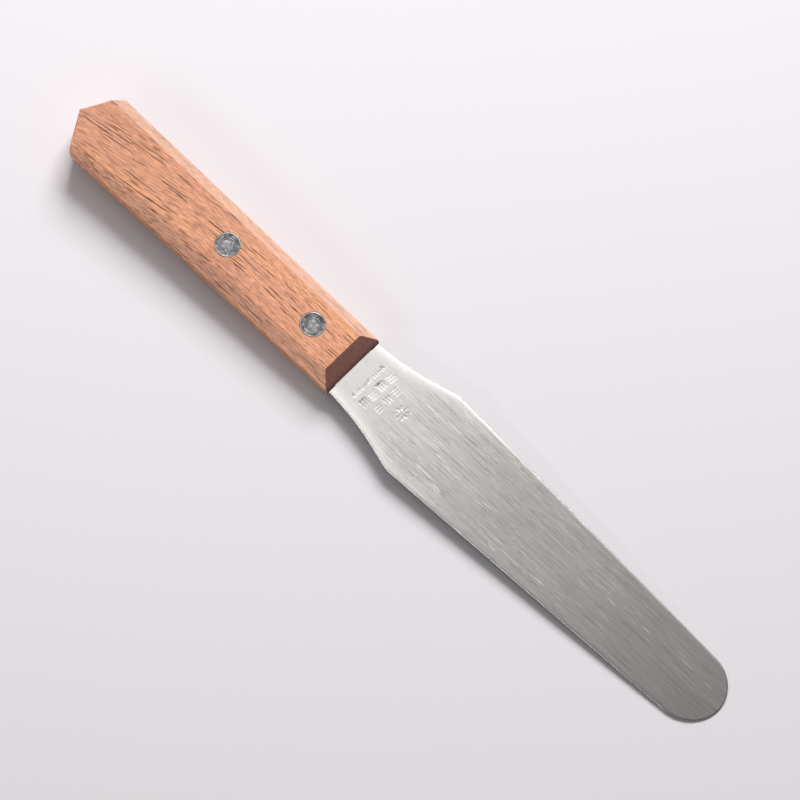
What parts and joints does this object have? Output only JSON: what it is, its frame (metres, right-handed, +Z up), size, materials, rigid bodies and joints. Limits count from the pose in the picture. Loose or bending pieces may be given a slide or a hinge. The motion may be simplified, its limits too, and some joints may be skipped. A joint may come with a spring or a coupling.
{
  "type": "palette knife",
  "caption": "Straight palette knife with a springy, round-ended steel blade that flares from a narrow neck, riveted into a bevelled one-piece wooden handle.",
  "frame": {"origin": "on the surface under the handle, at the middle of the overall length and on the centre line", "axes": "+X from the butt of the handle to the tip of the blade, +Z up through the blade's flat, with the washers on the upper side, and +Y across the blade"},
  "size_m": [0.2234, 0.0268, 0.0088],
  "materials": {
    "blade_steel": "lengthwise brushed stainless steel, polished along the edges of the neck",
    "handle_wood": "lightly oiled reddish hardwood with short dark open pores, dark end grain at the nose",
    "rivet_metal": "dull spread rivet metal with a bright worn rim"
  },
  "bodies": {
    "root": {"blade": "blade_steel", "handle": "handle_wood", "front_rivet": "rivet_metal", "rear_rivet": "rivet_metal", "front_rivet_washer": "rivet_metal", "rear_rivet_washer": "rivet_metal"}
  },
  "joints": []
}
